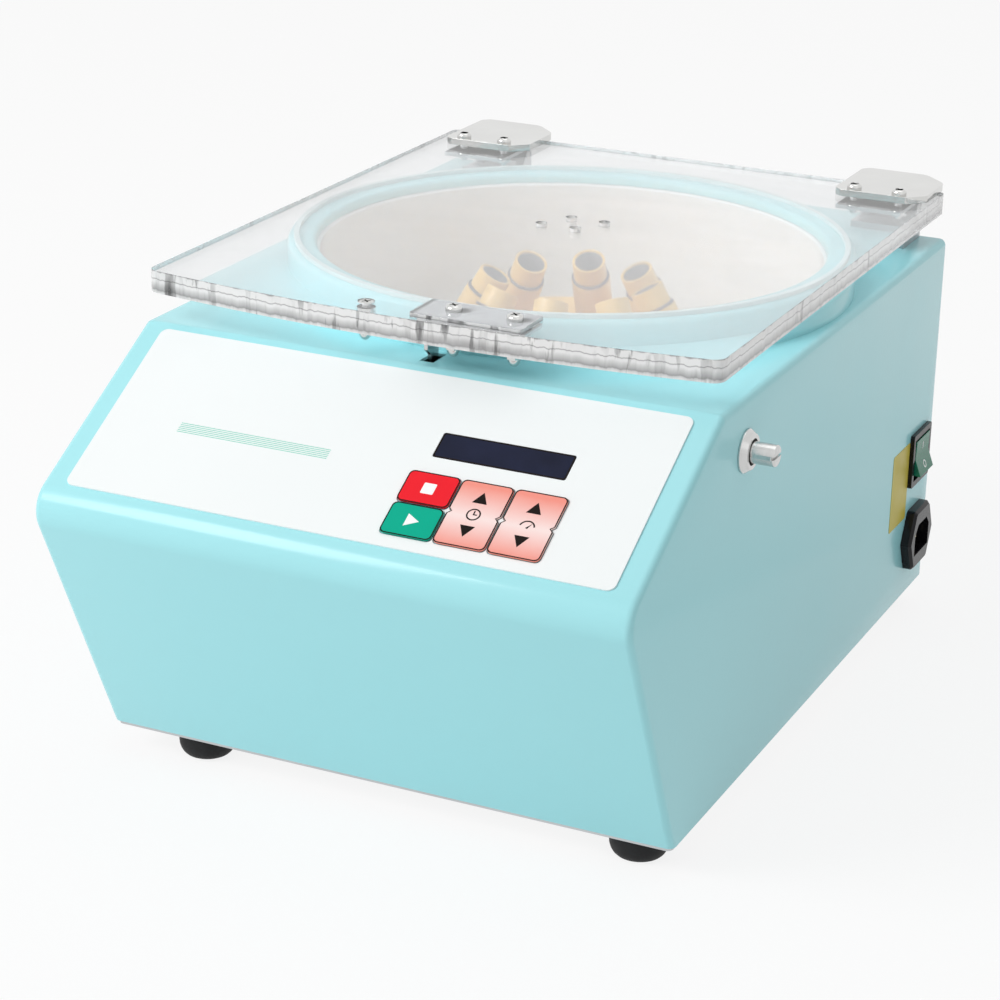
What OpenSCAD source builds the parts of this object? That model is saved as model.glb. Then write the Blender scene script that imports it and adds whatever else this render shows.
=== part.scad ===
// Bench centrifuge with a clear hinged lid, an angle rotor and a sloping key panel.
// Pieces are placed from the housing's front bottom edge: x across, y back, z up.

/* [Housing] */
// Width of the housing
body_w = 300; // [296:1:320]
// Depth of the housing at its bottom edge
body_d = 379.3; // [370:0.1:400]
// Height of the deck above the housing's bottom edge
deck_h = 197.6; // [190:0.1:215]
// How far the knee stands forward of the bottom edge
knee_out = 66.6; // [50:0.1:75]
// Height of the knee above the bottom edge
knee_h = 137; // [130:0.5:142]
// Where the deck begins behind the front bottom edge
deck_front = 39.3; // [37:0.1:41]
// Sheet thickness of the housing
wall = 1.5; // [1:0.1:2]
// Outside bend radius at the knee
knee_r = 15; // [8:0.5:16]
// Outside bend radius at both ends of the deck
deck_r = 4.5; // [3:0.5:6]
// Radius of the edges round both sides
side_r = 3.5; // [3:0.1:5]
// Width of the flange turned in along the bottom
lip_w = 14; // [10:1:18]

/* [Base and feet] */
// Thickness of the base plate
base_t = 2; // [1.5:0.1:3]
// How far the base plate stays inside the housing's outline
base_in = 1.5; // [1:0.1:3]
// Diameter of a rubber foot
foot_d = 28.6; // [24:0.1:32]
// Height of a rubber foot
foot_h = 14; // [12:0.5:18]
// Distance from the left side to the left feet
foot_in_left = 43; // [20:0.5:60]
// Distance from the right side to the right feet
foot_in_right = 24; // [20:0.5:60]
// Distance from the front and back edges to the feet
foot_in_y = 19; // [18:0.5:30]

/* [Chamber] */
// Inside radius of the bowl
bowl_r = 129; // [120:0.5:131]
// Height of the bowl's floor above the bottom edge
floor_z = 98; // [96:0.5:102]
// Sheet thickness of the bowl
bowl_t = 1.2; // [1:0.1:2]
// Radius where the bowl's floor meets its wall
bowl_round = 20; // [10:1:24]
// Height of the bowl's rim above the deck
rim_h = 7.2; // [5:0.1:8]
// Outside radius of the raised collar
collar_r = 145.5; // [144.5:0.1:147]
// Height of the raised collar above the deck
collar_h = 12.3; // [11:0.1:12.5]
// Thickness of the seal on the collar
seal_t = 2.2; // [1:0.1:2.3]

/* [Lid] */
// Gap between the deck and the lid
lid_gap = 14.8; // [14.8:0.1:18]
// Thickness of the lid
lid_t = 11; // [8:0.5:12]
// Width of the lid
lid_w = 296; // [290:1:300]
// Distance from the housing's back to the lid's back edge
lid_back_in = 4.3; // [4:0.1:8]
// Where the lid's front corners lie behind the front bottom edge
lid_front = 38.3; // [36:0.1:44]
// How far the middle of the front edge bows forward
lid_bow = 11.7; // [6:0.1:14]
// Radius of the lid's front corners
lid_corner = 6; // [2:0.5:12]
// Diameter of a hole near the middle of the lid
lid_hole_d = 6; // [4:0.5:8]

/* [Hinges] */
// Distance from the housing's left side to the middle of the left hinge
hinge_in_left = 37; // [34:0.5:50]
// Distance from the housing's right side to the middle of the right hinge
hinge_in_right = 29.5; // [28:0.5:40]
// Distance from the housing's back to the hinge pins
pin_in = 10.3; // [9.5:0.1:10.5]
// Height of the hinge pins above the deck
pin_h = 8.7; // [8.7:0.1:9.2]
// Diameter of a hinge pin
pin_d = 5; // [4:0.1:5.4]
// Width of a hinge plate
plate_w = 50; // [44:1:54]
// Length of a hinge plate
plate_l = 54; // [48:1:60]
// How far a hinge plate stands out behind the lid
plate_over = 19; // [10:0.5:19]
// Thickness of a hinge plate
plate_t = 3.7; // [2:0.1:5]
// Distance between the two screws of a hinge
hinge_screw_gap = 25; // [20:0.5:28]
// Distance from the lid's back edge to the hinge screws
hinge_screw_in = 30; // [26:0.5:34]

/* [Latch] */
// Middle of the latch slot, measured from the housing's middle
slot_x = -1.1; // [-6:0.1:4]
// Middle of the latch slot behind the front bottom edge
slot_y = 52.6; // [52:0.1:54]
// Width of the latch slot
slot_w = 7.2; // [6:0.1:9]
// Length of the latch slot
slot_l = 14.2; // [13:0.1:14.6]
// Thickness of the striker plate
striker_t = 2; // [1.5:0.1:2.5]
// How far the latch travels when it locks
latch_travel = 8; // [6:0.5:9]
// Distance of the release plunger below the deck
plunger_down = 25.6; // [23.6:0.1:28]
// Distance of the release plunger behind the front bottom edge
plunger_y = 69; // [68:0.1:70]
// Diameter of the release plunger
plunger_d = 10.4; // [9:0.1:11]
// How far the plunger stands out of the side
plunger_out = 15.7; // [14:0.1:20]
// Outside diameter of the release bezel
bezel_d = 21; // [19:0.5:24]
// Diameter of the latch rod
rod_d = 6; // [5:0.1:7]

/* [Key panel] */
// Width of the panel label
label_w = 275.6; // [240:0.1:284]
// Length of the panel label down the slope
label_l = 102.3; // [100:0.1:103]
// Thickness of the panel label
label_t = 0.8; // [0.5:0.1:1.2]
// Width of a key
key_w = 25.2; // [22:0.1:25.6]
// Length of a single key
key_l = 18.1; // [16:0.1:18.4]
// Distance between neighbouring keys
key_gap = 1; // [0.8:0.1:1.4]
// Left edge of the keys, measured from the housing's middle
keys_x = 22.6; // [10:0.1:24]
// Top edge of the keys, measured down the slope
keys_s = 62.5; // [61.5:0.1:64]
// How far a key travels
key_travel = 0.5; // [0.3:0.05:0.6]
// Width of the display window
window_w = 65.4; // [60:0.1:70]
// Height of the display window
window_h = 14.8; // [13:0.1:16]
// Middle of the display window, measured from the housing's middle
window_x = 60.9; // [50:0.1:64]
// Middle of the display window, measured down the slope
window_s = 45; // [42:0.1:47]

/* [Rotor] */
// Number of tube places
places = 8; // [4:1:8]
// Angle of a tube from upright
tilt = 29; // [25:0.5:32]
// Radius of the circle that the sleeve mouths lie on
mouth_r = 40; // [38:0.5:44]
// Height of the sleeve mouths above the bottom edge
mouth_z = 186.5; // [182:0.5:188]
// Outside diameter of a sleeve
sleeve_d = 17.6; // [17:0.1:18.4]
// Inside diameter of a sleeve
sleeve_bore = 14.8; // [12:0.1:15]
// Length of a sleeve
sleeve_l = 80; // [70:1:84]
// How far a sleeve stands out of its holder
sleeve_out = 12; // [8:0.5:16]
// Outside diameter of a sleeve holder
holder_d = 20.5; // [20:0.1:22]
// Length of a sleeve holder
holder_l = 56; // [44:1:60]
// Diameter of the motor shaft
shaft_d = 12; // [10:0.1:13]

/* [Motor] */
// Outside diameter of the motor
motor_d = 100; // [90:1:110]
// Length of the motor
motor_l = 68; // [60:1:69]
// Thickness of the motor plate
motor_plate_t = 4; // [3:0.5:5]
// Height of a rubber mount
mount_h = 14; // [10:1:18]
// Distance of the pillars from the rotor's axis, across and back
pillar_off = 85; // [78:1:90]

/* [Mains side] */
// Distance from the housing's back to the middle of the switch and the inlet
mains_in = 26.3; // [25:0.1:35]
// Height of the middle of the mains switch
rocker_z = 80; // [76:0.5:90]
// Width of the switch frame
rocker_w = 31.5; // [28:0.1:34]
// Height of the switch frame
rocker_h = 30.5; // [28:0.1:32]
// Angle that the switch paddle tips through
rocker_throw = 18; // [12:1:20]
// Height of the middle of the mains inlet
inlet_z = 33; // [30:0.5:36]
// Width of the mains inlet across its points
inlet_w = 41; // [39:0.1:44]
// Height of the mains inlet
inlet_h = 34.5; // [32:0.1:36]
// How far the mains inlet stands out
inlet_out = 6; // [4:0.1:8]

/* [Hidden] */
$fn = 64;

// Clearances: loose fit, running fit per side, seat and gap between moving bodies
loose = 0.4;
run = 0.05;
seat = 0.3;
eps = 0.01;

// Colours as the object shows them
aqua = [0.67, 0.91, 0.93];
steel = [0.75, 0.76, 0.77];
dark = [0.14, 0.14, 0.15];
zinc = [0.68, 0.69, 0.7];
board_green = [0.1, 0.38, 0.24];
salmon = [0.95, 0.63, 0.57];
gold = [0.9, 0.72, 0.38];

// Outline helpers
function unit(v) = v / norm(v);
function cross2(a, b) = a[0] * b[1] - a[1] * b[0];
function meet(p, u, q, v) = p + u * cross2(q - p, v) / cross2(u, v);
function polar(r, a) = r * [cos(a), sin(a)];
function arc(c, r, a0, a1, n) = [for (i = [0:n]) c + polar(r, a0 + (a1 - a0) * i / n)];
function half_angle(a, b, c) = acos(unit(a - b) * unit(c - b)) / 2;
function bend_centre(a, b, c, r) = b + unit(unit(a - b) + unit(c - b)) * r / sin(half_angle(a, b, c));
function turn(a0, a1) = (a1 - a0 + 900) % 360 - 180;
function bend(a, b, c, r, n) = r <= 0 ? [b] : let (
    m = bend_centre(a, b, c, r),
    d = r / tan(half_angle(a, b, c)),
    s = b + unit(a - b) * d - m,
    e = b + unit(c - b) * d - m,
    a0 = atan2(s[1], s[0]),
    da = turn(a0, atan2(e[1], e[0])))
    arc(m, r, a0, a0 + da, n);
function rounded(p, r, n = 8) = let (k = len(p))
    [for (i = [0:k - 1]) each bend(p[(i + k - 1) % k], p[i], p[(i + 1) % k], r[i], n)];
function inset(p, d) = let (k = len(p), u = [for (i = [0:k - 1]) unit(p[(i + 1) % k] - p[i])],
    q = [for (i = [0:k - 1]) p[i] + [u[i][1], -u[i][0]] * d[i]])
    [for (i = [0:k - 1]) meet(q[(i + k - 1) % k], u[(i + k - 1) % k], q[i], u[i])];
function box_outline(w, h) = [[-w / 2, -h / 2], [-w / 2, h / 2], [w / 2, h / 2], [w / 2, -h / 2]];
function pad_outline(w, h, r) = rounded(box_outline(w, h), [r, r, r, r]);

// Side profile of the housing: y back, z up
profile = [[0, 0], [-knee_out, knee_h], [deck_front, deck_h], [body_d, deck_h], [body_d, 0]];
function side(t, bottom, k) = rounded(inset(profile, [t, t, t, t, bottom]),
    [0, max(knee_r - t, 0.5), max(deck_r - t, 0.5), max(deck_r - t, 0.5), 0], k);
panel_run = profile[2] - profile[1];
panel_a = atan2(panel_run[1], panel_run[0]);
front_y = bend_centre(profile[0], profile[1], profile[2], knee_r)[0] - knee_r;

// Rear service cover and its screws
cover_w = 220;
cover_h = 96;
cover_z = 62;
screw_head_h = 1.8;
screw_d = 4;
screw_head_d = 8;
back_y = max(body_d + wall + screw_head_h, body_d - lid_back_in + plate_over);

// The part's frame: middle of the whole part, with the feet standing on z = 0
origin_x = plunger_out / 2;
origin_y = (front_y + back_y) / 2;
stand_h = foot_h + base_t;

bowl_y = (deck_front + body_d) / 2;
bowl_ro = bowl_r + bowl_t;
deck_hole_r = bowl_ro + 0.8;
rim_lip_r = bowl_r + 13.2;
rim_z = deck_h + rim_h;
collar_z = deck_h + collar_h;
collar_in = bowl_r + 1.6;
neck_r = 18;
neck_h = 9;
lid_z = deck_h + lid_gap;
lid_top = lid_z + lid_t;
lid_back = body_d - lid_back_in;
pin_y = body_d - pin_in;
pin_z = deck_h + pin_h;
knuckle_r = pin_d / 2 + 1.7;
leaf_t = 2;
leaf_l = 40;
hinge_screw_y = lid_back - hinge_screw_in;
hinge_left = hinge_in_left - body_w / 2;
hinge_right = body_w / 2 - hinge_in_right;
leaf_w = 36;
plate_front = 9;
plate_back = 14;
mains_y = body_d - mains_in;
base_ear_w = 5;
knuckle_w = 20;
hinge_base_t = 3.5;

motor_top = floor_z - 14;
motor_z = motor_top - motor_l;
pillar_h = motor_top - mount_h;
boot_r = 26;
bearing_r = 14;
bearing_w = 9;

board_t = 1.6;
key_lift = key_travel + 0.4;
key_cap = 0.9;
switch_h = 3.1;
key_board_z = -wall - 5.5;
stem_w = 5;
keys_w = 3 * key_w + 2 * key_gap;
keys_l = 2 * key_l + key_gap;

plunger_z = deck_h - plunger_down;
plunger_back = 12;
rod_end_x = body_w / 2 - plunger_back;
finger_x = slot_x + latch_travel + 4;
finger_t = 3;
finger_y = slot_y + 2;
bolt_d = 3.6;
striker_drop = 46;
pad_t = 2;
pad_w = 57;
pad_l = 26;
latch_screws_x = [14, 45];
bumper_x = -31.5;
latch_screw_y = 43;

web_d = 46;
web_t = 5;
web_r0 = mouth_r + web_d * sin(tilt);
web_z0 = mouth_z - web_d * cos(tilt);
hub_r = 16;
hub_top = 134;
hub_bottom = 111;
web_out = 78;
first_place = 100;
sleeve_low_d = sleeve_d - 1.2;
nut_h = 17;

// Places: whole housing frame, sloping panel, right side, rotor axis and one tube
module placed() {
    translate([-origin_x, -origin_y, stand_h]) children();
}
module on_panel(x, s) {
    placed() translate([0, deck_front, deck_h]) rotate([panel_a, 0, 0]) translate([x, -s, 0]) children();
}
module on_side(y, z) {
    placed() translate([body_w / 2, y, z]) rotate([90, 0, 90]) children();
}
module on_axis() {
    placed() translate([0, bowl_y, 0]) children();
}
module at_place(k) {
    rotate([0, 0, first_place + k * 360 / places])
        translate([mouth_r, 0, mouth_z]) rotate([0, -tilt, 0]) children();
}
module at_hinge(s) {
    placed() translate([s < 0 ? hinge_left : hinge_right, 0, 0]) children();
}
module corners(x0, x1, y0, y1) {
    for (x = [x0, x1], y = [y0, y1]) translate([x, y, 0]) children();
}

// Shared shapes
module block(w, l, h) {
    translate([-w / 2, -l / 2, 0]) cube([w, l, h]);
}
module ring(ro, ri, h) {
    difference() {
        cylinder(r = ro, h = h);
        translate([0, 0, -eps]) cylinder(r = ri, h = h + 2 * eps);
    }
}
module pan_screw(l, d = screw_d, head = screw_head_d, h = screw_head_h + 1) {
    difference() {
        union() {
            rotate_extrude() polygon(concat([[0, 0], [head / 2, 0], [head / 2, h * 0.4]],
                arc([head / 2 - h * 0.6, h * 0.4], h * 0.6, 10, 90, 5), [[0, h]]));
            translate([0, 0, -l]) cylinder(d = d, h = l + eps);
        }
        for (a = [45, 135]) rotate([0, 0, a]) translate([-head * 0.28, -head / 16, h * 0.45])
            cube([head * 0.56, head / 8, h]);
    }
}
module hex_nut(af, h, bore) {
    difference() {
        cylinder(d = af / cos(30), h = h, $fn = 6);
        translate([0, 0, -eps]) cylinder(d = bore, h = h + 2 * eps);
    }
}
module key_outline(l, grow) {
    w = key_w / 2 + grow;
    h = l / 2 + grow;
    polygon(rounded(box_outline(2 * w, 2 * h), [2.5, 2.5, 2.5, 2.5]));
}
module notched_outline(grow) {
    w = key_w / 2 + grow;
    h = keys_l / 2 + grow;
    n = 1.6;
    left = [[-w, -h], [-w, -n], [-w + n, 0], [-w, n], [-w, h]];
    right = [[w, h], [w, n], [w - n, 0], [w, -n], [w, -h]];
    polygon(rounded(concat(left, right), [2.5, 1, 0.8, 1, 2.5, 2.5, 1, 0.8, 1, 2.5]));
}
function key_x(c) = keys_x + key_w / 2 + c * (key_w + key_gap);
function key_s(r) = keys_s + key_l / 2 + r * (key_l + key_gap);
pair_s = keys_s + keys_l / 2;
pair_stem = keys_l / 4 + 1;

// Housing: one bent and welded sheet shell, open at the bottom inside a turned-in flange
module shell_solid(t, bottom, r) {
    steps = 4;
    hull() for (i = [0:steps]) {
        a = 90 * i / steps;
        w = body_w - 2 * t - 2 * r * (1 - cos(a));
        rotate([90, 0, 90]) translate([0, 0, -w / 2])
            linear_extrude(w) polygon(side(t + r * (1 - sin(a)), bottom, 8));
    }
}
module cover_hole(grow) {
    placed() translate([0, body_d, cover_z]) rotate([90, 0, 0])
        translate([0, 0, -2 * wall]) linear_extrude(4 * wall)
            polygon(pad_outline(cover_w - 20 + grow, cover_h - 20 + grow, 4));
}
module cover_screw_places() {
    for (sx = [-1, 1], sz = [-1, 1])
        placed() translate([sx * (cover_w / 2 - 5), body_d + wall, cover_z + sz * (cover_h / 2 - 5)])
            rotate([-90, 0, 0]) children();
}
module base_screw_places() {
    y0 = lip_w / 2 + base_in;
    placed() corners(-body_w / 2 + y0, body_w / 2 - y0, foot_in_y + 40, body_d - foot_in_y - 40)
        translate([0, 0, -base_t]) rotate([180, 0, 0]) children();
}
module key_holes() {
    for (r = [0, 1]) on_panel(key_x(0), key_s(r)) children();
    for (c = [1, 2], s = [-1, 1]) on_panel(key_x(c), pair_s + s * pair_stem) children();
}
module housing() {
    color(aqua) difference() {
        placed() shell_solid(0, 0, side_r);
        placed() shell_solid(wall, wall, 1);
        placed() translate([0, body_d / 2, -eps]) block(body_w - 2 * lip_w, body_d - 2 * lip_w, wall + 1);
        on_axis() translate([0, 0, deck_h - 5]) cylinder(r = deck_hole_r, h = 10);
        placed() translate([slot_x, slot_y, deck_h - 5]) block(slot_w, slot_l, 10);
        on_panel(window_x, window_s) translate([0, 0, -4]) block(window_w - 5, window_h - 3, 8);
        key_holes() translate([0, 0, -4]) block(stem_w + 2 * loose, stem_w + 2 * loose, 8);
        cover_hole(0);
        cover_screw_places() translate([0, 0, -8]) cylinder(d = screw_d + 0.2, h = 8 + eps);
        base_screw_places() translate([0, 0, -8]) cylinder(d = screw_d + 0.2, h = 8);
        on_side(plunger_y, plunger_z) translate([0, 0, -6]) cylinder(r = bezel_d / 2 - 2.4, h = 12);
        on_side(mains_y, rocker_z) translate([0, 0, -4]) block(rocker_w - 4, rocker_h - 4, 8);
        on_side(mains_y, inlet_z) translate([0, 0, -4]) block(inlet_w - 11, inlet_h - 9, 8);
        for (s = [-1, 1], a = [-1, 1]) at_hinge(s)
            translate([a * 11, pin_y - 15, deck_h - 4]) cylinder(d = screw_d + 0.2, h = 8);
    }
}

// Rear service cover: a plate with rows of slots, over an opening in the back
module rear_cover() {
    rows = 5;
    color(aqua) difference() {
        placed() translate([0, body_d, cover_z]) rotate([-90, 0, 0])
            linear_extrude(wall) polygon(pad_outline(cover_w, cover_h, 4));
        for (i = [0:rows - 1], sx = [-1, 1])
            placed() translate([sx * cover_w / 5, body_d - 1, cover_z + (i - (rows - 1) / 2) * 13])
                rotate([-90, 0, 0]) linear_extrude(wall + 2) polygon(pad_outline(cover_w / 3, 4, 1.9));
        cover_screw_places() translate([0, 0, -8]) cylinder(d = screw_d + 0.2, h = 12);
    }
}
module housing_screws() {
    color(zinc) {
        cover_screw_places() pan_screw(6, h = screw_head_h);
        base_screw_places() pan_screw(base_t + 4, h = screw_head_h + 0.4);
        foot_places() translate([0, 0, -foot_seat]) rotate([180, 0, 0])
            pan_screw(foot_seat + base_t + 2, h = 2.6);
    }
}

// Base plate with cooling slots under the motor
module foot_places() {
    placed() corners(-body_w / 2 + foot_in_left, body_w / 2 - foot_in_right, foot_in_y, body_d - foot_in_y)
        translate([0, 0, -base_t]) children();
}
module pillar_places(z) {
    on_axis() translate([0, 0, z]) corners(-pillar_off, pillar_off, -pillar_off, pillar_off) children();
}
module base_plate() {
    color(steel) difference() {
        placed() translate([0, body_d / 2, -base_t]) linear_extrude(base_t)
            polygon(pad_outline(body_w - 2 * base_in, body_d - 2 * base_in, 3));
        foot_places() translate([0, 0, -1]) cylinder(d = screw_d + 0.2, h = base_t + 2);
        base_screw_places() translate([0, 0, -8]) cylinder(d = screw_d + 0.2, h = 9);
        for (i = [-3:3]) on_axis() translate([i * 14, 0, -base_t - 1]) linear_extrude(base_t + 2)
            polygon(pad_outline(5, 70, 2.4));
    }
}
foot_bore_d = 9;
foot_seat = 6;
module rubber_feet() {
    r = foot_d / 2;
    c = foot_h * 0.55;
    color(dark) foot_places() difference() {
        rotate_extrude() polygon(concat([[0, 0], [r - 0.8, 0], [r, -0.8], [r, -foot_h + c]],
            [for (a = [15:15:75]) [r - 6 + 6 * cos(a), -foot_h + c - c * sin(a)]],
            [[r - 6, -foot_h], [0, -foot_h]]));
        translate([0, 0, -foot_h - 1]) cylinder(d = foot_bore_d, h = foot_h - foot_seat + 1);
        translate([0, 0, -foot_h]) cylinder(d = screw_d + 0.2, h = foot_h + 1);
    }
}

// Key panel: label, window, keys, display and key board
module label_cut(grow) {
    for (r = [0, 1]) translate([key_x(0), -key_s(r)]) key_outline(key_l, grow);
    for (c = [1, 2]) translate([key_x(c), -pair_s]) notched_outline(grow);
}
label_top = 4.3;
module control_label() {
    color([0.96, 0.98, 0.98]) difference() {
        on_panel(0, label_top + label_l / 2) linear_extrude(label_t)
            polygon(pad_outline(label_w, label_l, 4));
        on_panel(window_x, window_s) translate([0, 0, -1]) linear_extrude(label_t + 2)
            polygon(pad_outline(window_w + 0.3, window_h + 0.3, 1.2));
        on_panel(0, 0) translate([0, 0, -1]) linear_extrude(label_t + 2) label_cut(0.35);
    }
}
module display_window() {
    color([0.1, 0.12, 0.2]) on_panel(window_x, window_s)
        linear_extrude(label_t) polygon(pad_outline(window_w, window_h, 1.2));
}
standoff_d = 6;
module_w = window_w + 8;
module_h = window_h + 6;
module display_module() {
    z = key_board_z - board_t;
    color(board_green) on_panel(window_x, window_s) {
        translate([0, 0, -wall - seat - 5.2]) block(module_w - 4, module_h - 3, 5.2);
        translate([0, 0, z]) block(module_w + 10, module_h, board_t);
    }
}
module key_board() {
    color(board_green) {
        on_panel(key_x(1), pair_s) translate([0, 0, key_board_z - board_t])
            block(keys_w + 12, keys_l + 8, board_t);
        key_holes() translate([0, 0, key_board_z]) {
            block(6, 6, switch_h - 0.8);
            translate([0, 0, switch_h - 0.8 - eps]) cylinder(d = 3.4, h = 0.8);
        }
    }
}
module standoffs() {
    h = -wall - key_board_z;
    color(zinc) {
        for (sx = [-1, 1], sy = [-1, 1])
            on_panel(key_x(1) + sx * (keys_w / 2 + 2), pair_s + sy * (keys_l / 2 + 1))
                translate([0, 0, key_board_z]) cylinder(d = standoff_d, h = h, $fn = 24);
        for (sx = [-1, 1])
            on_panel(window_x + sx * (module_w / 2 + 1.5), window_s)
                translate([0, 0, key_board_z]) cylinder(d = standoff_d, h = h, $fn = 24);
        board_feet() cylinder(d = standoff_d, h = board_lift, $fn = 24);
    }
}
module stem() {
    translate([0, 0, key_board_z + switch_h + key_travel + 0.1])
        block(stem_w, stem_w, key_lift - key_board_z - switch_h - key_travel);
}
module single_key(r) {
    on_panel(key_x(0), key_s(r)) {
        translate([0, 0, key_lift]) linear_extrude(key_cap) key_outline(key_l, 0);
        stem();
    }
}
module pair_key(c) {
    on_panel(key_x(c), pair_s) {
        translate([0, 0, key_lift]) linear_extrude(key_cap) notched_outline(0);
        translate([-key_w / 2 + 4, 0, key_lift]) rotate([0, 90, 0])
            cylinder(r = key_lift - seat, h = key_w - 8);
        for (s = [-1, 1]) translate([0, s * pair_stem, 0]) stem();
    }
}
module stop_key() {
    color([0.87, 0.2, 0.2]) single_key(0);
}
module start_key() {
    color([0.1, 0.62, 0.49]) single_key(1);
}
module time_key() {
    color(salmon) pair_key(1);
}
module speed_key() {
    color(salmon) pair_key(2);
}

// Chamber: spun bowl with a rolled rim that stands on the deck, raised collar and seal
module bowl() {
    c = [bowl_ro - bowl_round, floor_z + bowl_round];
    color([0.97, 0.97, 0.97]) on_axis() rotate_extrude($fn = 96) polygon(concat(
        [[neck_r, floor_z]], arc(c, bowl_round, -90, 0, 8),
        [[bowl_ro, rim_z - bowl_t], [rim_lip_r - bowl_t, rim_z - bowl_t], [rim_lip_r - bowl_t, deck_h],
         [rim_lip_r, deck_h], [rim_lip_r, rim_z - 1], [rim_lip_r - 1, rim_z],
         [bowl_r + 1, rim_z], [bowl_r, rim_z - 1]],
        arc(c, bowl_round - bowl_t, 0, -90, 8),
        [[neck_r + bowl_t, floor_z + bowl_t], [neck_r + bowl_t, floor_z + neck_h],
         [neck_r, floor_z + neck_h]]));
}
module bowl_collar() {
    t = 1.2;
    r = 3;
    ri = collar_in;
    color(aqua) on_axis() rotate_extrude($fn = 96) polygon(concat(
        [[collar_r, deck_h]], arc([collar_r - r, collar_z - r], r, 0, 90, 5),
        arc([ri + r, collar_z - r], r, 90, 180, 5),
        [[ri, rim_z + seat], [ri + t, rim_z + seat]],
        arc([ri + r, collar_z - r], r - t, 180, 90, 5),
        arc([collar_r - r, collar_z - r], r - t, 90, 0, 5),
        [[collar_r - t, deck_h]]));
}
module lid_seal() {
    color([0.8, 0.86, 0.86]) on_axis() translate([0, 0, collar_z])
        ring(collar_r - 3.2, collar_r - 6, seal_t, $fn = 96);
}
module shaft_boot() {
    h = floor_z - motor_top - motor_plate_t;
    t = 2.5;
    lip = boot_r + 3;
    in = boot_r - t;
    color(dark) on_axis() translate([0, 0, motor_top + motor_plate_t]) rotate_extrude() polygon(
        [[in, 0], [lip, 0], [lip, 2], [boot_r, 2], [lip, h / 2], [boot_r, h - 2],
         [lip, h - 2], [lip, h], [in, h], [in, h - 2], [boot_r, h / 2], [in, 2]]);
}

// Motor: can with both bearings, hung under a plate on four rubber mounts
motor_screw_r = 36;
motor_screw_d = 5;
mount_bolt_d = 6;
armature_r = motor_d / 2 - 12;
module motor_body() {
    wall_end = bearing_w + 3;
    color(zinc) on_axis() translate([0, 0, motor_z]) difference() {
        union() {
            cylinder(d = motor_d, h = motor_l);
            for (a = [0:30:330]) rotate([0, 0, a])
                translate([motor_d / 2 - 1, -1.5, 10]) cube([4, 3, motor_l - 20]);
        }
        translate([0, 0, wall_end]) cylinder(r = armature_r + 1, h = motor_l - 2 * wall_end);
        translate([0, 0, -1]) cylinder(r = shaft_d / 2 + 2, h = motor_l + 2);
        translate([0, 0, 3]) cylinder(r = bearing_r, h = wall_end);
        translate([0, 0, motor_l - wall_end - eps]) cylinder(r = bearing_r, h = bearing_w);
        for (a = [45:90:315]) rotate([0, 0, a])
            translate([motor_screw_r, 0, motor_l - 10]) cylinder(d = motor_screw_d + 0.2, h = 11);
    }
}
module motor_bearings() {
    color(steel) on_axis() translate([0, 0, motor_z])
        for (z = [3, motor_l - 3 - bearing_w]) translate([0, 0, z])
            ring(bearing_r, shaft_d / 2 + run, bearing_w);
}
module motor_plate() {
    w = 2 * pillar_off + 34;
    color(steel) difference() {
        on_axis() translate([0, 0, motor_top]) linear_extrude(motor_plate_t) polygon(pad_outline(w, w, 12));
        on_axis() cylinder(r = boot_r - 4, h = motor_top + 9);
        pillar_places(motor_top - 1) cylinder(d = mount_bolt_d + 0.4, h = motor_plate_t + 2);
        on_axis() for (a = [45:90:315]) rotate([0, 0, a]) translate([motor_screw_r, 0, motor_top - 1])
            cylinder(d = motor_screw_d + 0.2, h = motor_plate_t + 2);
    }
}
module plate_mounts() {
    r = 11;
    waist = 9.5;
    color(dark) pillar_places(pillar_h) difference() {
        rotate_extrude() polygon([[0, 0], [r, 0], [r, 2], [waist, mount_h / 2], [r, mount_h - 2],
                                  [r, mount_h], [0, mount_h]]);
        translate([0, 0, -1]) cylinder(d = mount_bolt_d + 0.4, h = mount_h + 2);
    }
}
module plate_bolts() {
    color(zinc) {
        pillar_places(motor_top + motor_plate_t)
            pan_screw(motor_plate_t + mount_h + 10, d = mount_bolt_d, head = 11, h = 3.6);
        on_axis() for (a = [45:90:315])
            rotate([0, 0, a]) translate([motor_screw_r, 0, motor_top + motor_plate_t])
                pan_screw(motor_plate_t + 8, d = motor_screw_d, head = 9.5, h = 3.2);
    }
}
module mount_pillars() {
    color(steel) pillar_places(0) difference() {
        cylinder(d = 18, h = pillar_h);
        translate([0, 0, pillar_h - 14]) cylinder(d = mount_bolt_d + 0.2, h = 15);
    }
}

// Mains transformer and controller board on the base plate
module transformer() {
    w = 66;
    l = 58;
    h = 54;
    color([0.45, 0.42, 0.38]) placed() translate([-body_w / 2 + 62, 52, 0]) {
        translate([0, 0, 2]) block(w, l, h);
        translate([0, 0, h * 0.22]) block(w * 0.62, l + 22, h * 0.56);
        block(w + 26, 34, 2.2);
    }
}
board_lift = 8;
board_w = 104;
board_l = 74;
module board_place() {
    placed() translate([body_w / 2 - board_w / 2 - 24, board_l / 2 + 21, 0]) children();
}
module board_feet() {
    board_place() corners(-board_w / 2 + 5, board_w / 2 - 5, -board_l / 2 + 5, board_l / 2 - 5) children();
}
module controller_board() {
    color(board_green) board_place() translate([0, 0, board_lift]) {
        block(board_w, board_l, board_t);
        translate([-30, 12, 0]) cylinder(d = 24, h = 34);
        translate([8, 18, 0]) block(44, 6, 36);
        translate([-20, -18, 0]) block(28, 14, 18);
        translate([28, -16, 0]) block(20, 20, 16);
    }
}

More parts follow.
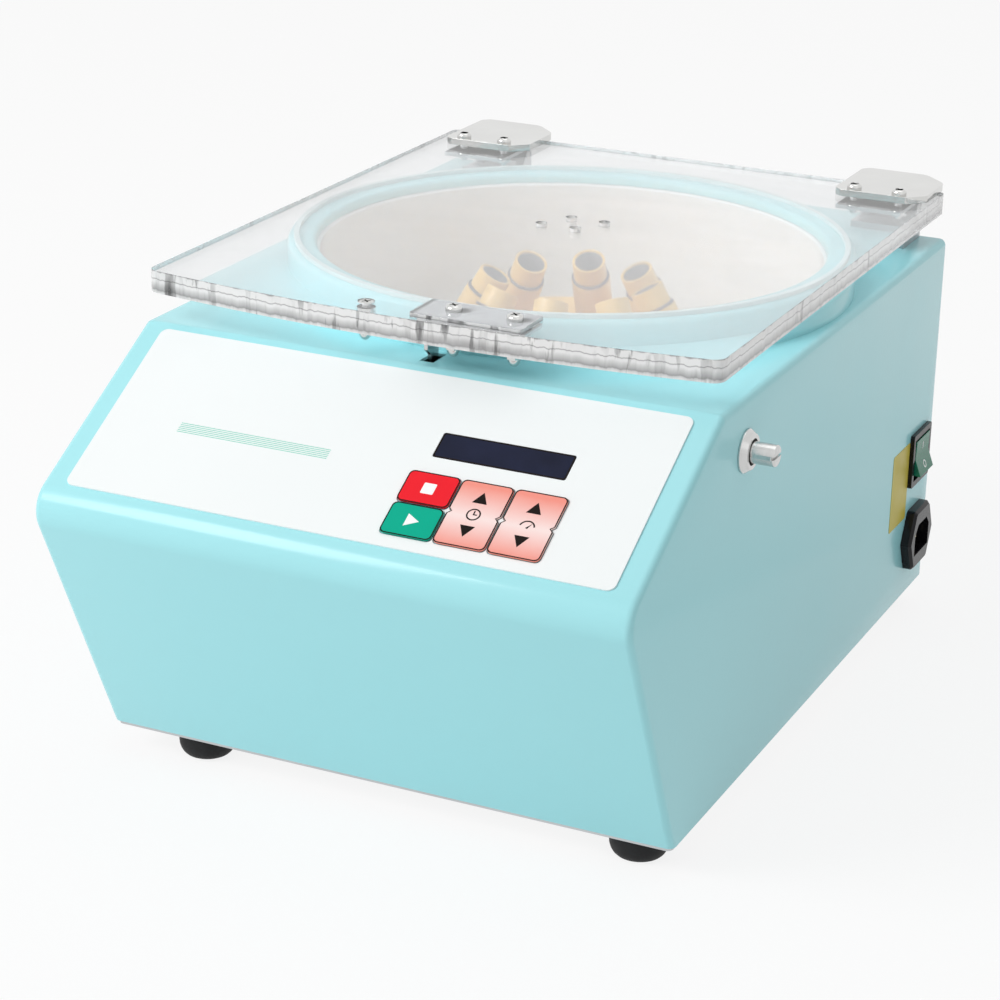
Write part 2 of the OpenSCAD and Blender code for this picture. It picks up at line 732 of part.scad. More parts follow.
// Mains switch and inlet in the right side
rocker_out = 2.4;
paddle_w = rocker_w - 8;
paddle_h = rocker_h - 8;
module rocker_bezel() {
    color(dark) on_side(mains_y, rocker_z) difference() {
        union() {
            linear_extrude(rocker_out) polygon(pad_outline(rocker_w, rocker_h, 1.6));
            translate([0, 0, -24]) block(rocker_w - 4.6, rocker_h - 4.6, 24 + eps);
        }
        translate([0, 0, -14]) block(paddle_w + 1.2, paddle_h + 1.4, 30);
        translate([0, 0, -3]) rotate([0, 90, 0]) translate([0, 0, -rocker_w / 2 + 2.6])
            cylinder(d = 3, h = rocker_w - 5.2);
    }
}
module rocker_paddle() {
    k = rocker_throw / 2;
    color([0, 0.5, 0.36]) on_side(mains_y, rocker_z) translate([0, 0, -3]) rotate([-k, 0, 0]) {
        rotate([90, 0, 90]) translate([0, 0, -paddle_w / 2]) linear_extrude(paddle_w)
            polygon([[-3, -7], [3, -7], [paddle_h / 2 - 2.6, 1], [paddle_h / 2 - 1, 7.6], [0, 5.6],
                     [-paddle_h / 2 + 1, 7.6], [-paddle_h / 2 + 2.6, 1]]);
        rotate([0, 90, 0]) translate([0, 0, -paddle_w / 2 - 1.2]) cylinder(d = 2.9, h = paddle_w + 2.4);
    }
}
socket_w = 25;
socket_h = 17.4;
socket_deep = 15;
module socket_outline(grow) {
    w = socket_w / 2 + grow;
    h = socket_h / 2 + grow;
    polygon([[-w, -h], [-w, h - 5], [-w + 5, h], [w - 5, h], [w, h - 5], [w, -h]]);
}
function inlet_outline(t) = let (w = inlet_w / 2 - t, f = inlet_w / 2 - 8.5 - t / 2, h = inlet_h / 2 - t)
    rounded([[-w, 0], [-f, h], [f, h], [w, 0], [f, -h], [-f, -h]], [2, 3, 3, 2, 3, 3]);
module mains_inlet() {
    color(dark) on_side(mains_y, inlet_z) difference() {
        union() {
            hull() {
                linear_extrude(inlet_out - 1.6) polygon(inlet_outline(0));
                linear_extrude(inlet_out) polygon(inlet_outline(1.6));
            }
            translate([0, 0, -20]) block(inlet_w - 11.8, inlet_h - 9.8, 20 + eps);
        }
        translate([0, 0, inlet_out - socket_deep]) linear_extrude(socket_deep + 1) socket_outline(0);
    }
}
module inlet_pins() {
    color([0.82, 0.8, 0.72]) on_side(mains_y, inlet_z) for (p = [[-7, -2.4], [7, -2.4], [0, 2.6]])
        translate([p[0], p[1], inlet_out - socket_deep]) block(2.2, 4, socket_deep - 5);
}

// Lid release: bezel, plunger, rod with a finger, and two guides under the deck
module release_bezel() {
    r = bezel_d / 2;
    color(steel) on_side(plunger_y, plunger_z) difference() {
        rotate_extrude() polygon([[0, -8], [r - 2.7, -8], [r - 2.7, 0], [r, 0],
                                  [r, 1], [r - 2.2, 4], [0, 4]]);
        translate([0, 0, -9]) cylinder(d = plunger_d + 2 * run, h = 14);
        cylinder(r = r - 4.2, h = 5);
    }
}
module release_plunger() {
    color(steel) on_side(plunger_y, plunger_z) difference() {
        rotate_extrude() polygon(concat([[0, -plunger_back], [plunger_d / 2, -plunger_back]],
            arc([plunger_d / 2 - 1, plunger_out - 1], 1, 0, 90, 4), [[0, plunger_out]]));
        translate([-plunger_d, -0.7, plunger_out - 1.6]) cube([2 * plunger_d, 1.4, 3]);
    }
}
module along_x(x) {
    placed() translate([x, plunger_y, plunger_z]) rotate([0, 90, 0]) children();
}
module latch_rod() {
    color(steel) along_x(finger_x - 4) cylinder(d = rod_d, h = rod_end_x - finger_x + 4);
}
module latch_finger() {
    d = plunger_y - finger_y;
    color(zinc) difference() {
        union() {
            placed() translate([finger_x, finger_y - 4.5, plunger_z - 5]) cube([finger_t, d + 10, 10]);
            along_x(finger_x) translate([0, -d, 0]) mirror([0, 0, 1])
                cylinder(d = bolt_d, h = finger_x - slot_x - 2.4);
        }
        along_x(finger_x - 1) cylinder(d = rod_d + 2 * run, h = finger_t + 2);
    }
}
guides_x = [44, 118];
module latch_guides() {
    h = deck_h - wall - plunger_z;
    color(zinc) for (x = guides_x) difference() {
        placed() translate([x, plunger_y, plunger_z - 6]) block(8, 12, h + 6);
        along_x(x - 5) cylinder(d = rod_d + 2 * run, h = 10);
    }
}

// Hinges: base block with two ears on the deck, leaf under the lid, plate on the lid
ear_x = knuckle_w / 2 + seat;
ear_r = knuckle_r - 0.3;
module hinge_base(s) {
    w = 2 * ear_x + 2 * base_ear_w;
    color(zinc) difference() {
        union() {
            at_hinge(s) translate([0, pin_y - 10, deck_h]) block(w, 29, hinge_base_t);
            for (a = [-1, 1])
                at_hinge(s) translate([a * (ear_x + base_ear_w / 2) - base_ear_w / 2, pin_y, deck_h])
                    rotate([90, 0, 90]) linear_extrude(base_ear_w) polygon(concat(
                        [[-9, 0], [-9, 2.5]], arc([0, pin_h], ear_r, 130, 0, 8), [[ear_r, 0]]));
        }
        at_hinge(s) translate([-w, pin_y, pin_z]) rotate([0, 90, 0])
            cylinder(d = pin_d + 2 * run, h = 2 * w);
        for (a = [-1, 1]) at_hinge(s) translate([a * 11, pin_y - 15, deck_h - 1])
            cylinder(d = screw_d + 0.2, h = 8);
    }
}
module hinge_base_left() {
    hinge_base(-1);
}
module hinge_base_right() {
    hinge_base(1);
}
module hinge_pins() {
    w = 2 * ear_x + 2 * base_ear_w;
    color(steel) for (s = [-1, 1]) at_hinge(s) translate([-w / 2, pin_y, pin_z]) rotate([0, 90, 0])
        cylinder(d = pin_d, h = w);
}
module hinge_base_screws() {
    color(zinc) for (s = [-1, 1], a = [-1, 1]) at_hinge(s) translate([a * 11, pin_y - 15, deck_h - wall])
        rotate([180, 0, 0]) pan_screw(wall + hinge_base_t - 0.3, h = 2.4);
}
module hinge_screw_places(s) {
    for (a = [-1, 1]) at_hinge(s) translate([a * hinge_screw_gap / 2 - 2, hinge_screw_y, 0]) children();
}
module hinge_plate(s) {
    w = plate_w / 2;
    y1 = lid_back + plate_over;
    y0 = y1 - plate_l;
    p = [[-w, y0 + 4], [-w, y1 - 4], [-w + 4, y1], [w - plate_back, y1], [w, y1 - plate_back],
         [w, y0 + plate_front], [w - plate_front, y0], [-w + 4, y0]];
    color(steel) difference() {
        at_hinge(s) translate([0, 0, lid_top]) linear_extrude(plate_t)
            polygon(rounded(p, [3, 4, 4, 9, 9, 3, 3, 3], 5));
        hinge_screw_places(s) translate([0, 0, lid_top - 1]) cylinder(d = screw_d + 0.2, h = plate_t + 2);
    }
}
module hinge_plate_left() {
    hinge_plate(-1);
}
module hinge_plate_right() {
    hinge_plate(1);
}
module hinge_leaf(s) {
    color(zinc) difference() {
        union() {
            at_hinge(s) translate([-2, pin_y + 2 - leaf_l / 2, lid_z - leaf_t])
                block(leaf_w, leaf_l, leaf_t);
            at_hinge(s) translate([-knuckle_w / 2, pin_y, pin_z]) rotate([0, 90, 0])
                cylinder(r = knuckle_r, h = knuckle_w);
        }
        at_hinge(s) translate([-knuckle_w, pin_y, pin_z]) rotate([0, 90, 0])
            cylinder(d = pin_d + 2 * run, h = 2 * knuckle_w);
        hinge_screw_places(s) translate([0, 0, lid_z - leaf_t - 1])
            cylinder(d = screw_d + 0.2, h = leaf_t + 2);
    }
}
module hinge_leaf_left() {
    hinge_leaf(-1);
}
module hinge_leaf_right() {
    hinge_leaf(1);
}
module hinge_screws() {
    l = plate_t + lid_t + leaf_t + 5;
    color(steel) for (s = [-1, 1]) hinge_screw_places(s) {
        translate([0, 0, lid_top + plate_t]) pan_screw(l);
        translate([0, 0, lid_z - leaf_t - 3.2]) hex_nut(7, 3.2, screw_d + 0.1);
    }
}

// Lid: clear panel with a bowed front edge, latch pad, striker and screws
lid_holes = [[-17.7, 0.8], [1.3, 0.6], [-8.7, 18.8], [10.2, 18.2]];
bow_r = (pow(lid_w / 2, 2) + pow(lid_bow, 2)) / (2 * lid_bow);
bow_a = asin((lid_w / 2 - lid_corner) / bow_r);
module lid_panel() {
    w = lid_w / 2;
    c = [0, lid_front - lid_bow + bow_r];
    e = c + bow_r * [sin(bow_a), -cos(bow_a)];
    color([0.9, 0.93, 0.94, 0.45]) difference() {
        placed() translate([0, 0, lid_z]) linear_extrude(lid_t) polygon(concat(
            arc(c, bow_r, -90 - bow_a, -90 + bow_a, 32),
            arc([w - lid_corner, e[1] + lid_corner], lid_corner, -80, 0, 5),
            arc([w - 4, lid_back - 4], 4, 0, 90, 4), arc([-w + 4, lid_back - 4], 4, 90, 180, 4),
            arc([-w + lid_corner, e[1] + lid_corner], lid_corner, 180, 260, 5)));
        for (p = lid_holes) on_axis() translate([p[0], p[1], lid_z - 1])
            cylinder(d = lid_hole_d, h = lid_t + 2);
        for (s = [-1, 1]) hinge_screw_places(s) translate([0, 0, lid_z - 1])
            cylinder(d = screw_d + 0.2, h = lid_t + 2);
        latch_screw_places() translate([0, 0, lid_z - 1]) cylinder(d = screw_d + 0.2, h = lid_t + 2);
        bumper_place() translate([0, 0, lid_z - 1]) cylinder(d = screw_d + 0.2, h = lid_t + 2);
        bumper_place() translate([0, 0, lid_top - 2.4]) cylinder(d = screw_head_d + 0.2, h = 4);
    }
}
module latch_screw_places() {
    for (x = latch_screws_x) placed() translate([x, latch_screw_y, 0]) children();
}
module bumper_place() {
    placed() translate([bumper_x, latch_screw_y, 0]) children();
}
striker_x = slot_x - slot_w / 2 + 1.6;
module striker_plate() {
    y0 = slot_y - slot_l / 2 + 1.2;
    y1 = slot_y + slot_l / 2 - 1.2;
    low = lid_z - striker_drop;
    p = [[y0, lid_z], [y1, lid_z], [y1, low + 4], [y1 - 2, low], [finger_y - 2.6, low],
         [finger_y - 4, low + 4], [finger_y - 4, deck_h + 2], [y0, deck_h + 5]];
    color(steel) difference() {
        union() {
            placed() translate([striker_x, 0, 0]) rotate([90, 0, 90]) linear_extrude(striker_t) polygon(p);
            placed() translate([striker_x, y0 - 8, lid_z - striker_t])
                cube([latch_screws_x[1] - striker_x + 7, y1 - y0 + 8, striker_t]);
        }
        latch_screw_places() translate([0, 0, lid_z - striker_t - 1])
            cylinder(d = screw_d + 0.2, h = striker_t + 2);
        placed() translate([striker_x - 1, finger_y - bolt_d / 2 - 0.6, plunger_z - bolt_d / 2 - 0.7])
            cube([striker_t + 2, bolt_d + 1.2, bolt_d + 1.4]);
    }
}
module latch_pad() {
    color([0.85, 0.88, 0.9, 0.6]) difference() {
        placed() translate([striker_x + pad_w / 2, latch_screw_y, lid_top]) linear_extrude(pad_t)
            polygon(pad_outline(pad_w, pad_l, 2));
        latch_screw_places() translate([0, 0, lid_top - 1]) cylinder(d = screw_d + 0.2, h = pad_t + 2);
    }
}
module latch_screws() {
    color(steel) {
        latch_screw_places() {
            translate([0, 0, lid_top + pad_t]) pan_screw(pad_t + lid_t + striker_t + 5);
            translate([0, 0, lid_z - striker_t - 3.2]) hex_nut(7, 3.2, screw_d + 0.1);
        }
        bumper_place() {
            translate([0, 0, lid_top - 2.4]) pan_screw(lid_t + 4, h = 2.3);
            translate([0, 0, lid_z - 4]) ring(4.5, screw_d / 2 + 0.05, 4);
        }
    }
}

// Rotor: shaft with armature, dished head with one holder per place, cap nut and sleeves
module motor_shaft() {
    color(steel) on_axis() {
        translate([0, 0, motor_z + 1]) cylinder(d = shaft_d, h = hub_top - motor_z - 1 + eps);
        translate([0, 0, hub_top]) cylinder(d = shaft_d - 2, h = 12);
        translate([0, 0, motor_z + bearing_w + 6])
            cylinder(r = armature_r, h = motor_l - 2 * bearing_w - 12);
    }
}
module rotor_dish() {
    slope = tan(tilt);
    lo = web_z0 - (web_r0 - hub_r + 2) * slope;
    hi = web_z0 + (web_out - web_r0) * slope;
    rise = web_t / cos(tilt);
    color(gold) on_axis() difference() {
        union() {
            rotate_extrude($fn = 96) polygon([[hub_r - 2, lo - rise], [web_out, hi - rise],
                                              [web_out, hi], [hub_r - 2, lo]]);
            translate([0, 0, hub_bottom]) cylinder(r = hub_r, h = hub_top - hub_bottom);
        }
        translate([0, 0, hub_bottom - 1]) cylinder(r = shaft_d / 2 + run, h = hub_top - hub_bottom + 30);
        for (k = [0:places - 1]) at_place(k) translate([0, 0, -sleeve_out - holder_l])
            cylinder(d = holder_d, h = holder_l);
    }
}
module tube_holders() {
    color(gold) on_axis() for (k = [0:places - 1]) at_place(k) translate([0, 0, -sleeve_out - holder_l])
        ring(holder_d / 2, sleeve_low_d / 2 + run, holder_l);
}
module rotor_nut() {
    color(zinc) on_axis() translate([0, 0, hub_top]) difference() {
        rotate_extrude() polygon(concat([[0, 0], [13, 0], [13, 4], [11, 5]],
            arc([7, nut_h - 4], 4, 0, 90, 5), [[0, nut_h]]));
        translate([0, 0, -1]) cylinder(d = shaft_d - 2 + 2 * run, h = 13.5);
    }
}
module tube_sleeve(k) {
    if (k < places) color(gold) on_axis() at_place(k) difference() {
        union() {
            translate([0, 0, -sleeve_out]) cylinder(d = sleeve_d, h = sleeve_out);
            rotate_extrude() polygon(concat(
                [[0, -sleeve_l]], arc([sleeve_low_d / 2 - 4, -sleeve_l + 4], 4, -90, 0, 5),
                [[sleeve_low_d / 2, -sleeve_out + eps], [0, -sleeve_out + eps]]));
        }
        translate([0, 0, -sleeve_l + 3]) cylinder(d = sleeve_bore, h = sleeve_l);
    }
}

housing();
rear_cover();
housing_screws();
base_plate();
rubber_feet();
control_label();
display_window();
display_module();
key_board();
standoffs();
stop_key();
start_key();
time_key();
speed_key();
bowl();
bowl_collar();
lid_seal();
shaft_boot();
motor_body();
motor_bearings();
motor_plate();
plate_mounts();
plate_bolts();
mount_pillars();
transformer();
controller_board();
rocker_bezel();
rocker_paddle();
mains_inlet();
inlet_pins();
release_bezel();
release_plunger();
latch_rod();
latch_finger();
latch_guides();
hinge_base_left();
hinge_base_right();
hinge_pins();
hinge_base_screws();
lid_panel();
hinge_plate_left();
hinge_plate_right();
hinge_leaf_left();
hinge_leaf_right();
hinge_screws();
striker_plate();
latch_pad();
latch_screws();
motor_shaft();
rotor_dish();
tube_holders();
rotor_nut();
tube_sleeve(0);  // tube_sleeve_1
tube_sleeve(1);  // tube_sleeve_2
tube_sleeve(2);  // tube_sleeve_3
tube_sleeve(3);  // tube_sleeve_4
tube_sleeve(4);  // tube_sleeve_5
tube_sleeve(5);  // tube_sleeve_6
tube_sleeve(6);  // tube_sleeve_7
tube_sleeve(7);  // tube_sleeve_8
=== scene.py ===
import math

import bmesh
import bpy
from mathutils import Matrix, Vector


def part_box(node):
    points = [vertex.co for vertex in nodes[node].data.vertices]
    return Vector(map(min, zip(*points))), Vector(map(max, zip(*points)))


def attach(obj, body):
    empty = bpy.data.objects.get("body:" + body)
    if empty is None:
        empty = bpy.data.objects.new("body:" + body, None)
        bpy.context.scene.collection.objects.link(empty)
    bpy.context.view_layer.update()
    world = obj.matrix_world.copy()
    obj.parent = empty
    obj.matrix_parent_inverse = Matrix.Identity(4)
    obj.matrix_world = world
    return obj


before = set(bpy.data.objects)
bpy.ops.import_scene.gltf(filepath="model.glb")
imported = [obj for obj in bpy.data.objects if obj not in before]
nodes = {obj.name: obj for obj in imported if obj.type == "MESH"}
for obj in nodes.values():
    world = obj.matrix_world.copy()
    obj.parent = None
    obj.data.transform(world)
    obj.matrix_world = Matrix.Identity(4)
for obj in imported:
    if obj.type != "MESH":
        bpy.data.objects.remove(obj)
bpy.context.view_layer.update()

MM = 0.001

# Camera, solved from the housing's edges in the photograph: pixels, millimetres, degrees, metres
PHOTO_SIDE = 1000
FOCAL_PX = 2793.73
SENSOR_MM = 36.0
AZIMUTH = 24.79
ELEVATION = 20.78
ROLL = 1.263
CAMERA_AT = (0.5435, -1.2314, 0.6160)


def box_middle(node):
    low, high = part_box(node)
    return (low + high) / 2


def make_camera():
    a, e, r = (math.radians(v) for v in (AZIMUTH, ELEVATION, ROLL))
    back = Vector((math.sin(a) * math.cos(e), -math.cos(a) * math.cos(e), math.sin(e)))
    right = Vector((math.cos(a), math.sin(a), 0))
    up = back.cross(right)
    x_axis = math.cos(r) * right + math.sin(r) * up
    y_axis = math.cos(r) * up - math.sin(r) * right
    data = bpy.data.cameras.new("photo_camera")
    data.sensor_width = SENSOR_MM
    data.lens = FOCAL_PX / PHOTO_SIDE * SENSOR_MM
    camera = bpy.data.objects.new("photo_camera", data)
    turn = Matrix((x_axis, y_axis, back)).transposed().to_4x4()
    camera.matrix_world = Matrix.Translation(CAMERA_AT) @ turn
    bpy.context.scene.collection.objects.link(camera)
    bpy.context.scene.camera = camera


# Colours and node helpers
def linear(r, g, b):
    """A screen colour, 0 to 255, as the renderer's linear colour, by the sRGB curve."""
    def one(v):
        v /= 255
        return v / 12.92 if v <= 0.04045 else ((v + 0.055) / 1.055) ** 2.4
    return (one(r), one(g), one(b), 1.0)


def shade(colour, f):
    return tuple(min(1.0, c * f) for c in colour[:3]) + (1.0,)


# Where a ramp's new stop starts before it gets its own place, and the Mix node's sockets for colours
ANY_PLACE = 0.5
MIX_FIRST = 6
MIX_SECOND = 7
MIX_RESULT = 2


class Tree:
    """A small builder for a material's nodes."""

    def __init__(self, name):
        self.mat = bpy.data.materials.new(name)
        self.mat.use_nodes = True
        self.nt = self.mat.node_tree
        self.shader = self.nt.nodes["Principled BSDF"]
        self.out = self.nt.nodes["Material Output"]
        coords = self.nt.nodes.new("ShaderNodeTexCoord")
        self.coord = coords.outputs["Object"]
        self.normal = coords.outputs["Normal"]

    def put(self, value, socket):
        if isinstance(value, bpy.types.NodeSocket):
            self.nt.links.new(value, socket)
        else:
            socket.default_value = value

    def node(self, kind, **inputs):
        n = self.nt.nodes.new(kind)
        for key, value in inputs.items():
            self.put(value, n.inputs[key])
        return n

    def math(self, operation, a, b=0.0):
        n = self.nt.nodes.new("ShaderNodeMath")
        n.operation = operation
        self.put(a, n.inputs[0])
        self.put(b, n.inputs[1])
        return n.outputs[0]

    def axes(self, vector):
        return self.node("ShaderNodeSeparateXYZ", Vector=vector).outputs

    def noise(self, scale, detail=3.0, stretch=(1, 1, 1)):
        m = self.node("ShaderNodeMapping", Vector=self.coord)
        m.inputs["Scale"].default_value = stretch
        n = self.node("ShaderNodeTexNoise", Vector=m.outputs["Vector"], Scale=scale, Detail=detail)
        return n.outputs["Fac"]

    def ramp(self, fac, stops):
        n = self.node("ShaderNodeValToRGB", Fac=fac)
        line = n.color_ramp
        while len(line.elements) < len(stops):
            line.elements.new(ANY_PLACE)
        for element, (place, colour) in zip(line.elements, stops):
            element.position = place
            element.color = colour
        return n.outputs["Color"]

    def span(self, value, low, high, within=(0.3, 0.7)):
        """Low where the value is at the start of the given range, high where it is at its end."""
        n = self.node("ShaderNodeMapRange", Value=value)
        n.inputs["From Min"].default_value = within[0]
        n.inputs["From Max"].default_value = within[1]
        n.inputs["To Min"].default_value = low
        n.inputs["To Max"].default_value = high
        return n.outputs["Result"]

    def bump(self, height, strength, distance):
        n = self.node("ShaderNodeBump", Height=height, Strength=strength, Distance=distance)
        return n.outputs["Normal"]

    def mix(self, fac, first, second):
        n = self.node("ShaderNodeMixShader", Fac=fac)
        self.nt.links.new(first, n.inputs[1])
        self.nt.links.new(second, n.inputs[2])
        return n.outputs[0]

    def blend(self, kind, fac, first, second):
        n = self.nt.nodes.new("ShaderNodeMix")
        n.data_type = "RGBA"
        n.blend_type = kind
        self.put(fac, n.inputs[0])
        self.put(first, n.inputs[MIX_FIRST])
        self.put(second, n.inputs[MIX_SECOND])
        return n.outputs[MIX_RESULT]

    def set(self, **values):
        """Sets the main shader's inputs, named in small letters with underscores."""
        for key, value in values.items():
            label = key.replace("_", " ").title().replace("Ior", "IOR")
            self.put(value, self.shader.inputs[label])


# Shared by all finishes: the noise range over which colour drifts, the patches' scale, the coat's gloss
DRIFT_FROM = 0.25
DRIFT_TO = 0.75
PATCH_SCALE = 3.1
COAT_ROUGHNESS = 0.06


def finish(name, colour, rough, metallic=0.0, vary=0.05, scale=40, rough_vary=0.06,
           bump=0.1, bump_scale=900, depth=0.0002, coat=0.0, stretch=(1, 1, 1), specular=0.5):
    """A surface with drifting colour, uneven roughness and a fine bump."""
    t = Tree(name)
    drift = t.noise(scale, detail=4.0, stretch=stretch)
    shades = [(DRIFT_FROM, shade(colour, 1 - vary)), (DRIFT_TO, shade(colour, 1 + vary))]
    t.set(base_color=t.ramp(drift, shades))
    patches = t.noise(scale * PATCH_SCALE, detail=5.0, stretch=stretch)
    t.set(roughness=t.span(patches, rough - rough_vary, rough + rough_vary))
    grain = t.noise(bump_scale, detail=2.0, stretch=stretch)
    t.set(normal=t.bump(grain, bump, depth), metallic=metallic, coat_weight=coat,
          coat_roughness=COAT_ROUGHNESS, specular_ior_level=specular)
    return t


# Clear sheet: the tints of the lid and the latch pad, the pale veil's colour (partly dust, partly painted
# reflection), the light that passes to what is below, and the ranges of the roughness and of the veil's
# share of a face
CLEAR = (0.90, 0.905, 0.91, 1)
CLEARER = (0.98, 0.985, 0.985, 1)
DUST_AND_PAINTED_REFLECTION = linear(242, 243, 244)
SHADOW_TINT = (0.87, 0.88, 0.89, 1)
ACRYLIC_IOR = 1.49
CLEAR_ROUGHNESS = (0.015, 0.04)
HAZE = (0.132, 0.198)
# How far a normal points up or down: below the first it is an edge, above the second a face
EDGE_TO_FACE = (0.3, 0.6)
# Shades of the cut edge, whose bright and dark bands and streaks are painted refraction
EDGE_WHITE = linear(252, 252, 252)
EDGE_PALE = linear(226, 226, 226)
EDGE_GREY = linear(168, 168, 168)
EDGE_DARK = linear(96, 96, 96)
# The cut edge's painted refraction by height, 0 at the sheet's lower face and 1 at its upper one
PAINTED_REFRACTION_BANDS = [(0.0, EDGE_WHITE), (0.1, EDGE_PALE), (0.16, EDGE_GREY), (0.4, EDGE_PALE), (0.52, EDGE_WHITE),
             (0.6, EDGE_WHITE), (0.64, EDGE_GREY), (0.68, EDGE_WHITE), (0.94, EDGE_WHITE), (1.0, EDGE_GREY)]
# The shades of its upright streaks, by noise: partly saw marks and partly painted refraction
SAW_AND_REFRACTION_STREAKS = [(0.3, EDGE_DARK), (0.39, EDGE_GREY), (0.43, EDGE_WHITE), (0.55, EDGE_WHITE), (0.6, EDGE_PALE),
               (0.72, EDGE_WHITE)]
# How far the bands wander up and down, and how strongly the streaks show from place to place
REFRACTION_WANDER = 0.05
STREAK_SHARE = (0.15, 1.0)
STREAK_NOISE = (0.42, 0.6)


def saw_cut_with_painted_refraction(t, low, high):
    """The sheet's cut edge, with painted refraction in its colour: pale, with a thin broken line, a greyer
    foot and upright streaks.
    """
    height = t.span(t.axes(t.coord)["Z"], 0.0, 1.0, (low, high))
    ripple = t.noise(scale=260, detail=4.0, stretch=(1, 1, 0.1))
    wave = t.span(ripple, -REFRACTION_WANDER, REFRACTION_WANDER)
    level = t.math("ADD", height, wave)
    across = t.ramp(t.noise(scale=150, detail=7.0, stretch=(1, 1, 0.2)), SAW_AND_REFRACTION_STREAKS)
    patches = t.span(t.noise(scale=28, detail=2.0), *STREAK_SHARE, within=STREAK_NOISE)
    colour = t.blend("MULTIPLY", patches, t.ramp(level, PAINTED_REFRACTION_BANDS), across)
    cut = t.node("ShaderNodeBsdfPrincipled", Roughness=0.2)
    t.put(colour, cut.inputs["Base Color"])
    grain = t.noise(scale=700, stretch=(1, 1, 0.3))
    t.put(t.bump(grain, strength=0.5, distance=0.0004), cut.inputs["Normal"])
    cut.inputs["Transmission Weight"].default_value = 0.3
    cut.inputs["Coat Weight"].default_value = 0.6
    return cut.outputs[0]


def clear_finish(name, node, tint):
    """Clear sheet that light passes, with a pale veil on its faces that is partly dust and partly painted
    reflection, and a bright broken saw cut with painted refraction on its edge.
    """
    t = Tree(name)
    smear = t.noise(scale=11, detail=4.0, stretch=(1, 2.4, 1))
    scratch = t.noise(scale=240, detail=2.0, stretch=(1, 6, 1))
    t.set(base_color=tint, transmission_weight=1.0, ior=ACRYLIC_IOR,
          roughness=t.span(smear, *CLEAR_ROUGHNESS),
          normal=t.bump(scratch, strength=0.004, distance=0.0001))
    # A pale diffuse veil over the faces: partly dust and partly painted reflection of the white
    # surroundings
    dust_and_reflection = t.node("ShaderNodeBsdfDiffuse", Color=DUST_AND_PAINTED_REFLECTION).outputs[0]
    face = t.mix(t.span(smear, *HAZE), t.shader.outputs[0], dust_and_reflection)
    let_through = t.node("ShaderNodeBsdfTransparent", Color=SHADOW_TINT).outputs[0]
    light_ray = t.node("ShaderNodeLightPath").outputs["Is Shadow Ray"]
    face = t.mix(light_ray, face, let_through)
    facing = t.math("ABSOLUTE", t.axes(t.normal)["Z"])
    side = t.span(facing, 1.0, 0.0, within=EDGE_TO_FACE)
    low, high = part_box(node)
    edge = saw_cut_with_painted_refraction(t, low.z, high.z)
    t.nt.links.new(t.mix(side, face, edge), t.out.inputs["Surface"])
    return t


# The sloping panel, in mm: x from the housing's middle, s down the slope from the panel's top edge,
# h above the sheet. The label is LABEL_T thick and starts LABEL_TOP down the slope.
PANEL_TILT = math.radians(29.78)
LABEL_T = 0.8
LABEL_TOP = 4.3
LABEL_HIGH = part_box("control_label")[1]
HOUSING_X = box_middle("housing").x


def on_panel(x, s, h):
    c, k = math.cos(PANEL_TILT), math.sin(PANEL_TILT)
    y0 = LABEL_HIGH.y
    z0 = LABEL_HIGH.z - LABEL_T * c * MM
    s -= LABEL_TOP
    return Vector((HOUSING_X + x * MM, y0 - (s * c + h * k) * MM, z0 - (s * k - h * c) * MM))


# The keypad, in mm: a key's width and length, the gap, the place of the first key's upper left corner,
# a long key's length and the keys' height above the sheet
KEY_W = 25.2
KEY_L = 18.1
KEY_GAP = 1.0
KEYS_X = 22.6
KEYS_S = 62.5
PAIR_L = 2 * KEY_L + KEY_GAP
KEY_TOP = 1.8
# A pale tone painted across the middle of the long keys as a highlight, and the keys' own salmon
KEY_PAINTED_HIGHLIGHT = linear(250, 226, 222)
KEY_RICH = linear(243, 146, 130)
# How much noise shifts the edge of the painted highlight, where that highlight starts to fade, and the
# film's roughness
HIGHLIGHT_NOISE = 0.12
HIGHLIGHT_FADE_FROM = 0.08
FILM_ROUGHNESS = (0.28, 0.4)


def key_film_with_painted_highlight(name, node):
    """Salmon film with a painted highlight: pale across the middle of a long key and richer towards both
    ends.
    """
    t = Tree(name)
    half = PAIR_L / 2 * MM * math.sin(PANEL_TILT)
    height = t.math("ABSOLUTE", t.math("SUBTRACT", t.axes(t.coord)["Z"], box_middle(node).z))
    uneven = t.math("MULTIPLY", t.noise(scale=90, detail=4.0), HIGHLIGHT_NOISE)
    place = t.math("ADD", t.math("DIVIDE", height, half), uneven)
    t.set(base_color=t.ramp(place, [(HIGHLIGHT_FADE_FROM, KEY_PAINTED_HIGHLIGHT), (1.0, KEY_RICH)]),
          roughness=t.span(t.noise(scale=120), *FILM_ROUGHNESS),
          normal=t.bump(t.noise(scale=1500, detail=2.0), strength=0.05, distance=0.0001))
    return t


